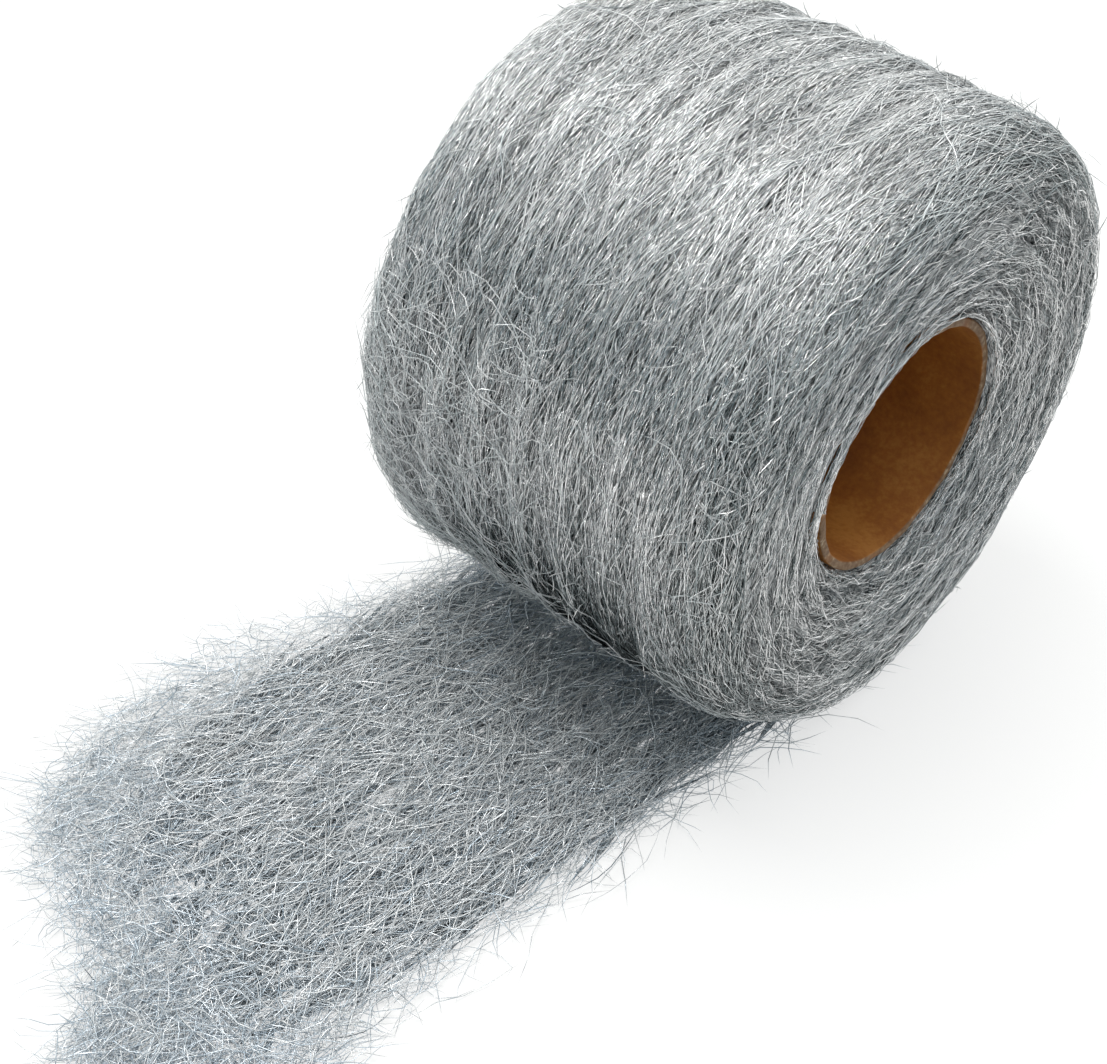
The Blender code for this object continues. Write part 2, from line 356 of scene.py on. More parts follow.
def layFibres(name, random, lay, centre, normal, tone, material, broad=1.0, mapped="fibre"):
    # rings of three points round each path point but the ends, the tips; a strand's flat side faces
    # anywhere, or leans from the normal by a spread in radians; its map is its tone, or the loose end's lay
    flat, leaning = lay.get("flat", 1.0), lay.get("leaning")
    count, rings, _ = centre.shape
    tangent = np.gradient(centre, axis=1)
    tangent /= np.linalg.norm(tangent, axis=2, keepdims=True) + 1e-9
    sideways = np.cross(tangent, normal[:, None, :])
    sideways /= np.linalg.norm(sideways, axis=2, keepdims=True) + 1e-9
    upward = np.cross(sideways, tangent)
    middle = slice(1, rings - 1)
    s = np.linspace(-1, 1, rings)[middle]
    taper = (1 - fibre["taper"] * s * s)[None, :, None]
    width = fibre["radius"] * random.uniform(*fibre["radii"], (count, 1, 1)) * taper
    if leaning is None:
        spin = random.uniform(0, fullTurn, (count, 1, 1))
    else:
        spin = random.normal(-math.pi / 2, leaning, (count, 1, 1))
    ring = np.stack([
        centre[:, middle] + width * (
            broad * np.cos(spin + fullTurn * k / 3) * sideways[:, middle]
            + flat * np.sin(spin + fullTurn * k / 3) * upward[:, middle]
        )
        for k in range(3)
    ], 2)
    body = 3 * (rings - 2)
    points = np.concatenate([centre[:, :1], ring.reshape(count, body, 3), centre[:, -1:]], 1)
    points[..., 2] = np.maximum(points[..., 2], fibre["lowest"])
    perStrand = body + 2
    faces = []  # each corner as its point, its height in rings and its third of the way round
    for row in range(rings - 1):
        low, high = 3 * row - 2, 3 * row + 1
        for k in range(3):
            after = (k + 1) % 3
            below = [(low + k, row, k), (low + after, row, k + 1)]
            above = [(high + after, row + 1, k + 1), (high + k, row + 1, k)]
            if row == 0:
                below = [(0, 0, k + 0.5)]
            if row == rings - 2:
                above = [(perStrand - 1, row + 1, k + 0.5)]
            faces.append(below + above)
    corners, heights, sides = np.array(sum(faces, [])).T
    starts = np.concatenate([[0], np.cumsum([len(face) for face in faces])[:-1]])
    order = np.arange(count)[:, None]
    allCorners = (corners.astype(int)[None] + order * perStrand).ravel()
    allStarts = (starts[None] + order * len(corners)).ravel()
    column = np.clip((tone * toneCount).astype(int), 0, toneCount - 1)[:, None]
    u = (column + 0.1 + 0.8 * sides[None] / 3) / toneCount  # the middle four fifths of a column
    length = np.linalg.norm(np.diff(centre, axis=1), axis=2).sum(1, keepdims=True)
    start = draw(random, count) * np.maximum(fibre["longest"] - length, 0)
    v = np.clip((start + length * heights[None] / (rings - 1)) / fibre["longest"], 0, 1)
    uv = np.stack([u, v], -1).reshape(-1, 2)
    maps = {"fibreTone": uv, "OFBake": uv}
    if mapped == "lay":
        flatPoints = points.reshape(-1, 3)[allCorners]
        maps = {"lay": np.stack([-flatPoints[:, 1], flatPoints[:, 0]], -1)}
    mesh = meshFrom(name, points.reshape(-1, 3), allCorners, allStarts, maps, smoothed=leaning is None)
    print(name, count, "strands", count * 6 * (rings - 2), "triangles")
    return addPiece(name, mesh, material, "aluminum_wool")


def depthShadedTone(random, level, middle):
    # painted shade: upper strands (level 1) are bright and those deep in the mass (level 0) darker, as if
    # shaded by the strands above, with a normal spread
    spread = random.normal(0.0, fibre["toneSpread"], level.shape)
    return np.clip(middle + fibre["toneRise"] * (level - 0.5) + spread, 0, 1)[:, 0]


def outward(winding):
    # the roll's outward direction at a winding angle
    return np.stack([0 * winding, np.sin(winding), -np.cos(winding)], -1)


upwards = np.array([[0.0, 0.0, 1.0]])  # and the loose end's


def shavedAluminum(name, stops, dentShade, roughness, metallic, dent, tilted):
    # Bright aluminium shaved from wire: metallic slivers with dents every few mm that tilt them, so that they
    # glint in short dashes; painted shade darkens the dents. Lots that stand for finer strands than the mesh
    # has, which scatter light, are less metallic.
    material, shader = newMaterial(name)
    toneMap = addNode(material, "UVMap", {"uv_map": "fibreTone"})
    parts = addNode(material, "SeparateXYZ", Vector=toneMap)
    steps = combine(material, "Math", "SNAP", parts, 1 / toneCount)
    scale = (3.0 * toneCount, fibre["longest"] / dent, 1.0)
    place = combine(material, "VectorMath", "MULTIPLY", toneMap, scale)
    dents = flatNoise(material, place, 1.0, 1.0)
    # painted shade: the base colour darkens towards the dent shade colour in the dents
    shade = addRamp(material, dents["Fac"], [(0.36, dentShade), (0.47, "#ffffff")])
    colour = mixColours(material, 1.0, addRamp(material, steps, stops), shade, "MULTIPLY")
    feed(material, shader, "Base Color", colour)
    spread, least = (tilted,) * 3, (-tilted / 2,) * 3
    tilt = combine(material, "VectorMath", "MULTIPLY_ADD", dents["Color"], spread, least)
    normal = addNode(material, "NewGeometry").outputs["Normal"]
    bent = combine(material, "VectorMath", "ADD", normal, tilt)
    unit = combine(material, "VectorMath", "NORMALIZE", bent)
    feed(material, shader, "Normal", unit.outputs[0])
    shader.inputs["Metallic"].default_value = metallic
    shader.inputs["Roughness"].default_value = roughness
    return material


fibreMetal = shavedAluminum(
    "shaved_aluminum_fibre",
    [(0.0, "#232829"), (0.12, "#697172"), (0.32, "#b1babb"), (0.58, "#fcfcfb"), (1.0, "#ffffff")],
    dentShade="#bcbfc0", roughness=0.2, metallic=1.0, dent=3.0, tilted=1.0,
)
# painted light: a paler, bluer copy of the aluminium for the loose end, for the cool light that falls there
tailMetal = shavedAluminum(
    "cool_lit_aluminum_fibre", [(0.0, "#5f6e79"), (0.25, "#abbbc7"), (0.6, "#e9f2fa"), (1.0, "#ffffff")],
    dentShade="#c6cfd5", roughness=0.2, metallic=0.55, dent=6.0, tilted=1.2,
)
curlMetal = shavedAluminum(
    "bright_aluminum_curl", [(0.0, "#6f7a7c"), (0.5, "#e7eeee"), (1.0, "#ffffff")],
    dentShade="#c3c8ca", roughness=0.26, metallic=0.4, dent=7.0, tilted=0.8,
)

barrelLay = {
    "seed": 11,
    "strands": (3800, 3800, 4000, 1300),
    "lengths": (32.0, 32.0, 44.0, 40.0),  # mm, of two deep lots, a top lot and the brightest one
    "levels": ((0.0, 0.8), (0.0, 0.8), (0.5, 1.0), (0.8, 1.0)),
    # middle tones of the lots; the deep ones are lower as painted shade beneath the top lot
    "tones": (0.58, 0.58, 0.72, 0.6),
    "broads": (1.05, 1.05, 1.15, 1.05),
    "headings": (0.15, 0.15, 0.15, 0.25),  # radians, spread of directions
    "curl": 0.010,  # radians for each mm
    "crimp": (0.15, 19.0, 0.45),  # radians and mm, and mm of lift
    "depth": 1.4,  # mm that the loose strands stand over the mass
    "leaning": 0.45,  # radians that flat sides lean from the skin
    "flat": 0.8,
    "overShoulder": 1.35,  # times the shoulder's radius that the middles reach past the flat
    "middles": (0.12, 0.25),  # radians that the strands' middles keep from the flat spot
    "ends": (0.02, 0.12),  # and the ends
    "shown": (2.4, 5.4),  # winding angles between which the strands lie closer
    "topShown": (2.4, 4.1),  # and for the brightest lot
    "shownShare": 0.62,
}
barrelShade = {  # easings as start and width, in radians of winding or in mm along the axis
    "band": 0.42,  # painted highlight, added to the tone in the band that faces the sky
    "bandTop": (2.7, 0.55),
    "bandFoot": 3.98,
    "bandSlant": 0.0024,  # radians for each mm
    "bandFootWidth": 0.22,
    "below": (4.78, 0.5),  # where the roll shades itself
    "low": 0.97,  # part of the tone lost there, from one side of the roll to the other
    "lowSide": (-36.0, 26.0),
    "lowEnd": 0.35,  # less of it at the +X end
    "lowEndSide": (22.0, 16.0),
    "curls": 0.45,  # added low down at the -X end
    "curlSide": (-20.0, -12.0),
    "end": 0.45,  # painted shade: part of the tone lost round the +X shoulder above that
    "endSide": (40.0, 7.0),
}


def barrelTone(tone, start, place):
    # tone + the painted highlight band + low curls, times what the painted shade round the +X shoulder and
    # the shaded low part leave of it
    shade = barrelShade
    # painted highlight: the band that faces the sky, whose lower edge slants
    foot = shade["bandFoot"] + shade["bandSlant"] * place
    band = smooth((foot - start) / shade["bandFootWidth"]) * eased(start, shade["bandTop"])
    tone = tone + shade["band"] * band
    below = eased(start, shade["below"])
    low = below * eased(place, shade["lowSide"]) * (1 - shade["lowEnd"] * eased(place, shade["lowEndSide"]))
    tone = tone + shade["curls"] * below * eased(place, shade["curlSide"])
    # painted shade round the +X shoulder, above the shaded low part
    tone = tone * (1 - shade["end"] * eased(place, shade["endSide"]) * (1 - below))
    return np.clip(tone, 0, 1) * (1 - shade["low"] * low)


def makeBarrelFibres():
    # strands laid round the barrel and its shoulders, on all sides
    lay = barrelLay
    random = seeded(lay)
    reach = roll["width"] / 2 - roll["shoulder"] + lay["overShoulder"] * roll["shoulder"]
    for number, length in enumerate(lay["lengths"]):
        count = lay["strands"][number]
        heading = lay["headings"][number]
        along, across, lift = strandPaths(random, count, lay, length=length, heading=heading)
        anywhere = draw(random, count, lay["middles"][0], fullTurn - lay["middles"][1])
        shown = draw(random, count, *lay["topShown" if number == 3 else "shown"])
        start = np.where(draw(random, count) < lay["shownShare"], shown, anywhere)
        place = draw(random, count, -reach, reach)
        winding = np.clip(start + along / roll["radius"], lay["ends"][0], fullTurn - lay["ends"][1])
        level = draw(random, count, *lay["levels"][number])
        centre = barrelPoint(winding, place + across, skinGap + lay["depth"] * level + np.abs(lift))
        tone = depthShadedTone(random, level, lay["tones"][number])
        layFibres(
            f"barrel_fibres_{number + 1}", random, lay, centre, outward(start[:, 0]),
            barrelTone(tone, start[:, 0], place[:, 0]), curlMetal if number == 3 else fibreMetal,
            lay["broads"][number],
        )


makeBarrelFibres()

endLay = {
    "seed": 23,
    "strands": {1: 4600, -1: 1100},
    "length": 19.0,
    "heading": 0.25,
    "curl": 0.02,
    "crimp": (0.55, 9.0, 0.8),
    "depth": 1.3,
    "turnDepths": (0.2, 0.9),  # where in a turn's thickness the strands lie
    "tone": 0.54,
    "start": 0.03,  # radians from the ribbon's outer end
}


def makeEndFibres():
    # strands that follow the turns' edges on both end faces, as many for each mm of winding
    lay = endLay
    random = seeded(lay)
    for side, name in ((1, "front_end_fibres"), (-1, "rear_end_fibres")):
        count = lay["strands"][side]
        along, across, lift = strandPaths(random, count, lay)
        inner, outer = firstRadius ** 2, roll["radius"] ** 2
        radius = np.sqrt(draw(random, count, inner, outer))
        start = (roll["radius"] - radius) / pitch * fullTurn
        depth = draw(random, count, *lay["turnDepths"]) * pitch
        winding = np.clip(start + along / radius, lay["start"], roll["turns"] * fullTurn)
        level = draw(random, count)
        centre = endPoint(winding, depth + across, side, skinGap + lay["depth"] * level + np.abs(lift))
        tone = depthShadedTone(random, level, lay["tone"])
        layFibres(name, random, lay, centre, np.array([[side, 0.0, 0.0]]), tone, fibreMetal)


makeEndFibres()
print("wound fibres laid")

# Loose end
tail = {
    "length": 190.0,
    "backEdge": 46.0,
    "frontEdge": 50.0,
    "spreadBack": 23.0,
    "spreadLength": 136.0,
    "drawFront": 9.0,
    "slant": 0.25,
    "backCorner": 38.0,
    "frontCorner": 28.0,
    "thickness": 4.1,
    "endThickness": 2.2,
    "foot": 0.6,  # mm between the table and the strands
    "crown": 0.5,  # part of the height lost from the middle to the edges
    "softTo": (-77.0, -200.0),  # mm, x and y past which strands are drawn in by half
    "leans": (0.2, -0.06),  # radians that strands turn with the -X and the +X edge
    "leanWidth": 40.0,
}


def tailEdges(distance):
    # the two edges as distances from the middle, rounded at the torn corners
    back = tail["backEdge"] + tail["spreadBack"] * smooth(distance / tail["spreadLength"])
    back = back - arcDrop(distance - (tail["length"] - tail["backCorner"]), tail["backCorner"])
    front = tail["frontEdge"] - tail["drawFront"] * smooth(distance / tail["length"])
    front = front - arcDrop(distance - (tail["length"] - tail["frontCorner"]), tail["frontCorner"])
    return back, front


def tailPoint(distance, place, height):
    # place from -1 at the -X edge to 1 at the +X edge, and the same slant as the torn end
    back, front = tailEdges(distance)
    across = np.where(place < 0, place * back, place * front)
    y = -distance - tail["slant"] * across * smooth(distance / tail["length"])
    return np.stack([across, y, height + 0 * across], -1)


tailLay = {
    "seed": 37,
    "strands": (4000, 2900, 1300),
    "lengths": (24.0, 32.0, 34.0),  # mm, of a deep lot, a top lot and the brightest one
    "levels": ((0.0, 0.75), (0.45, 1.0), (0.75, 1.05)),
    # middle tones of the lots; the deep one is lower as painted shade beneath the top lots
    "tones": (0.7, 1.08, 1.02),
    "broads": (0.95, 1.25, 1.3),
    "shadedTones": (0.5, 0.5, 0.15),  # parts of the tone lost in the roll's shade, and at the torn end
    "endTones": (0.3, 0.3, 0.0),
    "flat": 0.7,
    "leaning": 0.6,
    "heading": 0.45,
    "curl": 0.035,
    "crimp": (0.28, 17.0, 1.4),
    "first": -9.0,  # mm
    "reach": 0.91,  # part of the length that the strands' middles cover
    "pushed": 9.0,  # mm, the most that they are pushed outwards, and where
    "push": (95.0, 77.0),
    "endFade": 6.0,  # mm, past a distance
    "endFadeFrom": 60.0,
    "corner": 13.0,  # mm that the torn end reaches further towards +X
    "cornerSide": (-0.7, 0.9),
    "cornerFrom": (100.0, 65.0),
    "loose": (122.0, 48.0),  # mm, over which the strands grow shorter, curlier and more tangled
    "looseShorter": 0.46,
    "looseCurlier": 3.6,
    "looseHeading": 0.9,
    "straightSide": (0.5, 0.5),  # part of the +X side where they lie straighter
    "straighter": 0.3,
    "backReach": 0.87,  # parts of the half widths that the strands cover before they thin out
    "backNarrowing": 0.15,
    "narrow": (45.0, 85.0),
    "frontReach": 0.79,
    "frontFlare": 0.2,
    "flareFrom": (130.0, 40.0),
    "fade": 0.08,
    "frontFade": 1.25,
    "shade": (60.0, -45.0),
    "litSide": (0.5, 0.4),
    "lit": 0.6,
}
tailFringe = {
    "seed": 43,
    "strands": 1800,
    "rings": 9,
    "length": 25.0,
    "heading": 1.1,
    "curl": 0.1,
    "crimp": (0.4, 14.0, 1.2),
    "fluffShare": 0.1,  # part of the curls that lie as a thin wide fluff beyond the -X edge
    "fluff": (0.3, 0.6),  # parts of the length: where that fluff starts, and over which
    "fluffSwell": (0.3, 0.56),
    "fluffEdge": -0.84,
    "fluffWidth": 0.15,
    "endShare": 0.45,  # part of the curls along the torn end
    "endFrom": 0.95,
    "endWidth": 0.15,
    "endCorner": 0.065,
    "endSides": 0.86,
    "sides": 0.92,
    "side": 0.95,
    "heights": (0.5, 3.2),
    "tones": (0.82, 0.22),
    "flat": 0.8,
}


def placeOnTail(distance, place, along, across, height):
    # strands drawn along and across: set at a place on the loose end, and turned with its spreading edges
    middle = tailPoint(distance, place, 0 * distance)
    backLean, frontLean = tail["leans"]
    lean = np.where(place < 0, place * backLean, place * frontLean) * smooth(distance / tail["leanWidth"])
    x = middle[..., 0] + across + lean * along
    y = middle[..., 1] - along
    softX, softY = tail["softTo"]
    x = x + 0.5 * np.maximum(softX - x, 0)
    y = y + 0.5 * np.maximum(softY - y, 0)
    return np.stack([x, y, np.maximum(height, skinGap + fibre["lowest"])], -1)


def tailCrown(distance):
    # height of the loose end's middle, straight from where it leaves the roll to the torn end
    thickness = tail["thickness"]
    return thickness + (tail["endThickness"] - thickness) * distance / tail["length"]


def makeTailFibres():
    # crimped strands along the loose end; their places thin out by a bell curve past its dense middle
    lay = tailLay
    random = seeded(lay)
    for number, length in enumerate(lay["lengths"]):
        count = lay["strands"][number]
        distance = draw(random, count, lay["first"], lay["reach"] * tail["length"])
        distance = distance + lay["pushed"] * hump(distance, lay["push"])
        distance = distance + random.normal(0, lay["endFade"], (count, 1)) * (distance > lay["endFadeFrom"])
        side = draw(random, count, -1, 1)
        corner = eased(side, lay["cornerSide"]) * eased(distance, lay["cornerFrom"])
        distance = distance + lay["corner"] * corner
        loose = eased(distance, lay["loose"])
        heading = lay["heading"] * (1 + lay["looseHeading"] * loose)
        along, across, lift = strandPaths(
            random, count, lay, length=length * (1 - lay["looseShorter"] * loose),
            heading=heading * (1 - lay["straighter"] * eased(side, lay["straightSide"])),
            curl=lay["curl"] * (1 + lay["looseCurlier"] * loose),
        )
        back = lay["backReach"] - lay["backNarrowing"] * hump(distance, lay["narrow"]) ** 2
        front = lay["frontReach"] + lay["frontFlare"] * eased(distance, lay["flareFrom"])
        place = side * np.where(side < 0, back, front)
        place = place + random.normal(0, lay["fade"], (count, 1)) * np.where(side > 0, lay["frontFade"], 1)
        level = draw(random, count, *lay["levels"][number])
        height = tail["foot"] + tailCrown(distance) * level * (1 - tail["crown"] * np.abs(place))
        centre = placeOnTail(distance, place, along, across, height + lift)
        tone = depthShadedTone(random, level, lay["tones"][number])
        near = eased(distance[:, 0], lay["shade"]) * (1 - lay["lit"] * eased(side[:, 0], lay["litSide"]))
        tone = tone * (1 - lay["shadedTones"][number] * near) * (1 - lay["endTones"][number] * loose[:, 0])
        layFibres(
            f"loose_end_fibres_{number + 1}", random, lay, centre, upwards, tone,
            curlMetal if number == 2 else tailMetal, lay["broads"][number],
        )


def makeTailFringe():
    # curls of every heading: some along the torn end, some in the fluff of the -X edge, the rest anywhere
    lay = tailFringe
    random = seeded(lay)
    count = lay["strands"]
    along, across, lift = strandPaths(random, count, lay)
    lot = draw(random, count)
    atEnd = lot < lay["endShare"]
    inFluff = lot > 1 - lay["fluffShare"]
    spot = draw(random, count)
    side = draw(random, count, -lay["side"], lay["side"])
    fluff = lay["fluff"][0] + lay["fluff"][1] * spot
    last = lay["endFrom"] - lay["endWidth"] * spot
    share = np.select([atEnd, inFluff], [last, fluff], spot * lay["endFrom"])
    share = share + lay["endCorner"] * atEnd * eased(side, tailLay["cornerSide"])
    wide = lay["fluffWidth"] * hump(fluff, lay["fluffSwell"])
    edge = lay["fluffEdge"] - wide * draw(random, count)
    place = np.select([atEnd, inFluff], [side * lay["endSides"], edge], side * lay["sides"])
    height = lay["heights"][0] + draw(random, count) * lay["heights"][1]
    centre = placeOnTail(share * tail["length"], place, along, across, height + lift)
    tone = np.clip(random.normal(*lay["tones"], count), 0, 1)
    layFibres("loose_end_curls", random, lay, centre, upwards, tone, tailMetal)


makeTailFibres()
makeTailFringe()

strays = {
    "seed": 53,
    "all": 330,  # anywhere on the barrel
    "low": 430,  # more on the -X half of the shown side
    "rings": 9,
    "length": 29.0,
    "heading": 0.7,
    "curl": 0.13,
    "crimp": (0.3, 22.0, 0.4),
    "inset": 3.0,  # mm that their middles keep from the ends
    "outset": 8.0,  # mm that they may pass that by
    "around": 0.3,  # radians that their middles keep from the flat spot
    "lowAround": (4.2, 5.5),
    "lowSpread": 1.05,
    "lowPower": 1.5,
    "ends": (0.05, 0.15),  # radians kept free beside the flat spot
    "stand": 1.6,
    "rise": 3.5,  # mm, the most that an end springs off the skin
    "tones": (0.92, 0.18),
}
hairs = {  # short hairs with one end off the skin
    "seed": 54,
    "strands": 600,
    "rings": 7,
    "length": 11.0,
    "heading": 1.0,
    "curl": 0.09,
    "crimp": (0.4, 12.0, 0.0),
    "ends": (0.9, 0.8),
    "outset": 4.0,
    "stand": 0.6,
    "rise": 4.5,
    "tones": (0.6, 0.25),
}
glints = {
    "seed": 61,
    "barrel": 950,
    "tail": 500,
    "rings": 4,
    "length": 3.4,
    "heading": 0.3,
    "tailHeading": 0.6,
    "curl": 0.1,
    "crimp": (0.2, 6.0, 0.1),
    "around": (3.3, 5.2),
    "spread": 1.8,  # times half the width, from the +X end
    "power": 1.8,
    "outset": 4.0,
    "stand": 1.5,
    "distances": (20.0, 0.95),  # mm, and part of the length
    "sides": 0.85,
    "foot": 0.9,
    "broad": 2.1,
    "flat": 0.8,
    "leaning": 0.4,
}


def makeStrays():
    # loose curls that spring off the wound wool: any heading, tight bends, and ends that rise off the skin
    lay = strays
    random = seeded(lay)
    count = lay["all"] + lay["low"]
    along, across, lift = strandPaths(random, count, lay)
    reach = roll["width"] / 2 - lay["inset"]
    low = (np.arange(count) >= lay["all"])[:, None]
    lowStart = draw(random, count, *lay["lowAround"])
    start = np.where(low, lowStart, draw(random, count, lay["around"], fullTurn - lay["around"]))
    crowded = -1 + lay["lowSpread"] * draw(random, count) ** lay["lowPower"]
    place = np.where(low, crowded, draw(random, count, -1, 1)) * reach
    winding = np.clip(start + along / roll["radius"], lay["ends"][0], fullTurn - lay["ends"][1])
    s = np.linspace(-1, 1, lay["rings"])[None]
    rise = draw(random, count) ** 2 * lay["rise"] * s * s
    sway = np.clip(place + across, -reach - lay["outset"], reach + lay["outset"])
    centre = barrelPoint(winding, sway, lay["stand"] + np.abs(lift) + rise)
    tone = np.clip(random.normal(*lay["tones"], count), 0, 1)
    layFibres("stray_curls", random, lay, centre, outward(start[:, 0]), tone, curlMetal)


def makeFlyingHairs():
    # short hairs over the whole skin: the free half rises by the square of its length
    lay = hairs
    random = seeded(lay)
    count = lay["strands"]
    along, across, _ = strandPaths(random, count, lay)
    start = draw(random, count, lay["ends"][0], fullTurn - lay["ends"][1])
    place = draw(random, count, -1, 1) * (roll["width"] / 2 + lay["outset"])
    s = np.linspace(0, 1, lay["rings"])[None]
    rise = lay["rise"] * draw(random, count, 0.1, 1) * s * s
    centre = barrelPoint(start + along / roll["radius"], place + across, lay["stand"] + rise)
    tone = np.clip(random.normal(*lay["tones"], count), 0, 1)
    layFibres("flying_hairs", random, lay, centre, outward(start[:, 0]), tone, fibreMetal)


def makeGlints():
    # short bright slivers: on the shown side of the barrel, more towards +X, and all over the loose end
    lay = glints
    random = seeded(lay)
    count = lay["barrel"]
    along, across, lift = strandPaths(random, count, lay)
    start = draw(random, count, *lay["around"])
    place = 1 - lay["spread"] * draw(random, count) ** lay["power"]
    place = place * (roll["width"] / 2 + lay["outset"])
    centre = barrelPoint(start + along / roll["radius"], place + across, lay["stand"] + np.abs(lift))
    away = outward(start[:, 0])
    layFibres("barrel_glints", random, lay, centre, away, np.ones(count), curlMetal, lay["broad"])
    count = lay["tail"]
    along, across, lift = strandPaths(random, count, lay, heading=lay["tailHeading"])
    distance = draw(random, count, lay["distances"][0], lay["distances"][1] * tail["length"])
    place = draw(random, count, -lay["sides"], lay["sides"])
    height = lay["foot"] + tailCrown(distance) * (1 - tail["crown"] * np.abs(place))
    centre = placeOnTail(distance, place, along, across, height + np.abs(lift))
    layFibres("loose_end_glints", random, lay, centre, upwards, np.ones(count), curlMetal, lay["broad"])


makeStrays()
makeFlyingHairs()
makeGlints()


def quadsBetween(steps, rows, count):
    # row and point of each quad between rings of points, and its four corners
    row, point = np.meshgrid(np.arange(steps), np.arange(count), indexing="ij")
    low, high, after = row * count, (row + 1) % rows * count, (point + 1) % count
    return row, point, np.stack([low + point, high + point, high + after, low + after], -1).reshape(-1, 4)


def ribbonSections(perTurn, levels):
    # rings of the wound ribbon's section: up the -X edge and down the +X edge, turn by turn inwards
    steps = round(roll["turns"] * perTurn)
    winding = (np.arange(steps + 1) * fullTurn / perTurn)[:, None]
    outside = roll["radius"] - pitch * winding / fullTurn
    beneath = outside - pitch + roll["turnGap"]
    inside = np.maximum(beneath, firstRadius)
    level = np.array(levels)[None]
    rings = []
    for side, levelRow in ((-1, level), (1, level[:, ::-1])):
        radius = inside + levelRow * (outside - inside)
        rounding = roll["edgeRound"] * (1 - np.sqrt(1 - (2 * levelRow - 1) ** 2))
        reach = endReach(winding, radius) + edgeWander(winding, side) - rounding
        rings.append(aroundAxis(winding + 0 * radius, side * reach, radius))
    section = np.concatenate(rings, 1)
    section[..., 2] = np.maximum(section[..., 2], 0.0)
    return section


def skinMesh(name, sections):
    # closed skin over a row of rings; its map is mm along the rows and round the rings
    rows, count, _ = sections.shape
    i, j, corners = quadsBetween(rows - 1, rows, count)
    ends = np.concatenate([np.arange(count), ((rows - 1) * count + np.arange(count))[::-1]])
    allCorners = np.concatenate([corners.ravel(), ends])
    starts = np.concatenate([np.arange(len(corners)) * 4, [len(corners) * 4, len(corners) * 4 + count]])
    step = np.linalg.norm(np.diff(sections, axis=0), axis=2).max(1)
    along = np.concatenate([[0.0], np.cumsum(step)])
    closed = np.concatenate([sections, sections[:, :1]], 1)
    around = np.concatenate([
        np.zeros((rows, 1)), np.cumsum(np.linalg.norm(np.diff(closed, axis=1), axis=2), 1)
    ], 1)
    u = np.stack([along[i], along[i + 1], along[i + 1], along[i]], -1).ravel()
    v = np.stack([around[i, j], around[i + 1, j], around[i + 1, j + 1], around[i, j + 1]], -1).ravel()
    u = np.concatenate([u, np.zeros(2 * count)])
    v = np.concatenate([v, np.zeros(2 * count)])
    return meshFrom(name, sections.reshape(-1, 3), allCorners, starts, {"lay": np.stack([u, v], -1)})


matting = {
    "swayScale": 1 / 11,  # for each mm
    "sway": 7.0,  # mm
    "lines": ((0.10, 0.24), (-0.16, 0.3)),  # radians off the lay, and mm across a line
    "lineLength": 5.0,
    "depth": 0.0006,  # metres
    "roughness": 0.42,
}


def mattedWool(name, metallic, stops):
    # The mass of wool below the loose strands: fine wavy lines of the same metal over dim gaps. Where it is
    # thin and scatters light between finer strands than the mesh has, it is less metallic.
    material, shader = newMaterial(name)
    lay = addNode(material, "UVMap", {"uv_map": "lay"})
    sway = flatNoise(material, lay, matting["swayScale"], 1.0)["Color"]
    bend = combine(material, "VectorMath", "MULTIPLY_ADD", sway, (0.0, matting["sway"], 0.0), lay)
    lines = []
    for lean, gauge in matting["lines"]:
        scale = (1 / matting["lineLength"], 1 / gauge, 1.0)
        turned = addNode(material, "Mapping", {}, Vector=bend, Rotation=(0.0, 0.0, lean), Scale=scale)
        lines.append(flatNoise(material, turned, 1.0, 1.5)["Fac"])
    most = combine(material, "Math", "MAXIMUM", *lines)
    # painted shade: the ramp's lowest stop darkens the gaps between the lines
    feed(material, shader, "Base Color", addRamp(material, most, stops))
    bump = addNode(material, "Bump", {}, Height=most, Strength=1.0, Distance=matting["depth"])
    feed(material, shader, "Normal", bump.outputs[0])
    shader.inputs["Metallic"].default_value = metallic
    shader.inputs["Roughness"].default_value = matting["roughness"]
    return material


woolMass = mattedWool("matted_aluminum_wool", 1.0, [(0.45, "#363a3d"), (0.55, "#b2b6b8"), (0.66, "#fbfbfb")])
# painted light: the loose end's paler, bluer copy of the mass, for the cool light that falls there
tailMass = mattedWool("cool_lit_matted_wool", 0.4, [(0.43, "#95a2ab"), (0.54, "#dae5ec"), (0.62, "#fafdff")])

woundMass = {
    "perTurn": 90,
    "levels": (0.0, 0.14, 0.5, 0.86, 1.0),  # heights of the section's points in the ribbon
    "inset": 0.35,  # mm that it lies below the strands on the barrel, and at the ends
    "sideInset": 0.5,
    "outerFade": (fullTurn, 0.3),
}


def makeWoundRibbon():
    # the ribbon's own section, drawn in a little below the loose strands, with the outer turn's lumps
    perTurn = woundMass["perTurn"]
    sections = ribbonSections(perTurn, woundMass["levels"])
    winding = (np.arange(len(sections)) * fullTurn / perTurn)[:, None]
    outer = 1 - eased(winding, woundMass["outerFade"])
    lift = outer * (relief(winding, sections[..., 0]) - woundMass["inset"])
    level = np.array(woundMass["levels"] + woundMass["levels"][::-1])[None]
    sections = sections + (lift * level)[..., None] * outward(winding)
    radius = np.hypot(sections[..., 1], sections[..., 2] - axisHeight)
    sections[..., 0] -= np.sign(sections[..., 0]) * (woundMass["sideInset"] + besideTube(radius))
    sections[..., 2] = np.maximum(sections[..., 2], 0.0)
    addPiece("wound_ribbon", skinMesh("wound_ribbon", sections), woolMass, "aluminum_wool", "wool_ribbon")


makeWoundRibbon()

